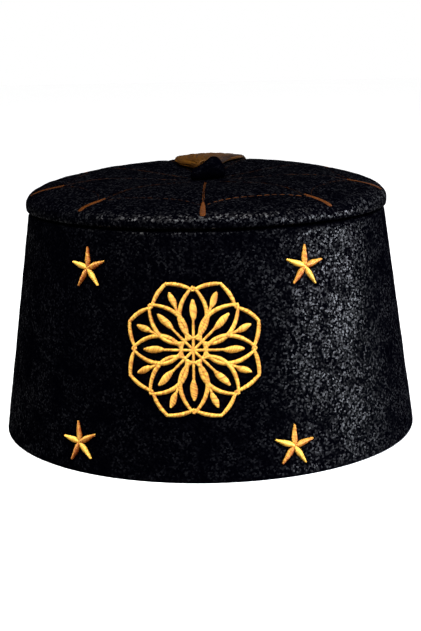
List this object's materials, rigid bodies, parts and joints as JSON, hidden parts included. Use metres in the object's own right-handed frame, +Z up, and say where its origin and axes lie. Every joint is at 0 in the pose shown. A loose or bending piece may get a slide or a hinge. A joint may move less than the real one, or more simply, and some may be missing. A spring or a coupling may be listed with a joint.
{
  "type": "velvet skullcap",
  "caption": "Round velvet cap with a slanted wall, a dished top with a rolled edge, a short velvet stem, a gold silk tassel, and raised gold stars around a rosette.",
  "frame": {"origin": "middle of the rim, on the surface that the cap stands on", "axes": "+Z up through the middle of the top, -Y out of the embroidered front, +X to the viewer's right of that front"},
  "size_m": [0.1876, 0.1876, 0.1208],
  "materials": {
    "black_velvet": "crushed black velvet pile with fine pale glints",
    "gold_thread": "glossy satin-stitched gold thread",
    "gold_silk": "smooth dark gold silk strands"
  },
  "bodies": {
    "root": {"wall": "black_velvet", "tip": "black_velvet", "stem": "black_velvet", "tassel": "gold_silk", "star_upper_left": "gold_thread", "star_upper_right": "gold_thread", "star_lower_left": "gold_thread", "star_lower_right": "gold_thread", "roundel": "gold_thread"}
  },
  "joints": []
}
